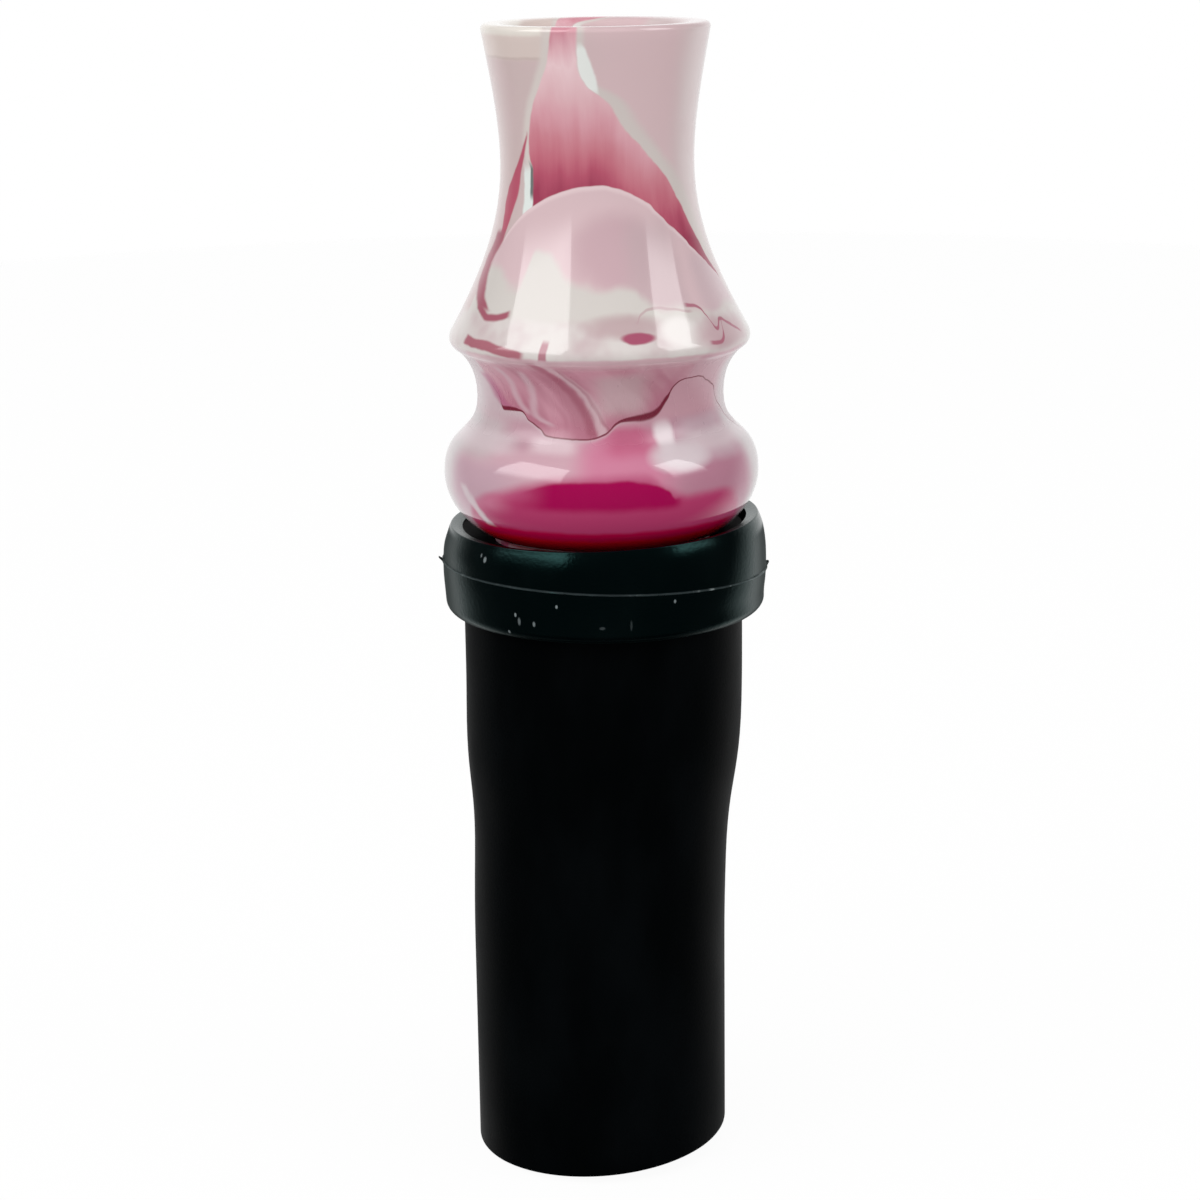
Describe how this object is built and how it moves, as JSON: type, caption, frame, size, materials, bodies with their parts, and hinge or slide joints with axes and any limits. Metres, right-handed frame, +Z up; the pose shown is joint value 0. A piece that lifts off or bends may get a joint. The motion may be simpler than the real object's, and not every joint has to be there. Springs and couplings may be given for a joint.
{
  "type": "duck call",
  "caption": "Duck call: a turned marbled acrylic mouthpiece pushed into a black rubber tube under a moulded collar ring, with a double-reed tone board insert inside.",
  "frame": {"origin": "centre of the tube's cut end, on the bore axis, where the call stands", "axes": "+Z up the bore to the mouth, -Y towards the side that the picture shows and the reeds face, +X to the right in the picture"},
  "size_m": [0.0328, 0.0328, 0.1128],
  "materials": {
    "marbled_acrylic": "polished pink and white marbled cast acrylic",
    "collar_rubber": "moulded black rubber, glossy above the parting line",
    "tube_rubber": "smooth matt black rubber",
    "plug_plastic": "turned black plastic",
    "board_plastic": "moulded translucent plastic",
    "reed_film": "cut polyester film",
    "cork": "natural cork",
    "seal_rubber": "black rubber"
  },
  "bodies": {
    "tube": {"resonator_tube": "tube_rubber"},
    "collar": {"collar_ring": "collar_rubber"},
    "mouthpiece": {"mouthpiece": "marbled_acrylic"},
    "seals": {"upper_o_ring": "seal_rubber", "lower_o_ring": "seal_rubber"},
    "insert": {"insert_plug": "plug_plastic", "tone_board": "board_plastic", "cork_wedge": "cork"},
    "long_reed": {"long_reed": "reed_film"},
    "short_reed": {"short_reed": "reed_film"}
  },
  "joints": [
    {"name": "collar_slide", "type": "slide", "parent": "tube", "child": "collar", "axis": [0, 0, -1], "range_m": [0, 0.04]},
    {"name": "mouthpiece_pull", "type": "slide", "parent": "tube", "child": "mouthpiece", "axis": [0, 0, 1], "range_m": [0, 0.03]},
    {"name": "insert_pull", "type": "slide", "parent": "mouthpiece", "child": "seals", "axis": [0, 0, -1], "range_m": [0, 0.063]},
    {"name": "insert_turn", "type": "hinge", "parent": "seals", "child": "insert", "pos_m": [0, 0, 0.0486], "axis": [0, 0, 1], "continuous": true},
    {"name": "long_reed_flex", "type": "hinge", "parent": "insert", "child": "long_reed", "pos_m": [0, -0.00045, 0.0621], "axis": [-1, 0, 0], "range_deg": [-1.5, 0.9], "stiffness_Nm_per_rad": 0.008},
    {"name": "short_reed_flex", "type": "hinge", "parent": "insert", "child": "short_reed", "pos_m": [0, -0.00105, 0.0621], "axis": [-1, 0, 0], "range_deg": [-1.5, 0.9], "stiffness_Nm_per_rad": 0.008}
  ],
  "couplings": [
    {"joint": "short_reed_flex", "follows": "long_reed_flex", "ratio": 1}
  ]
}
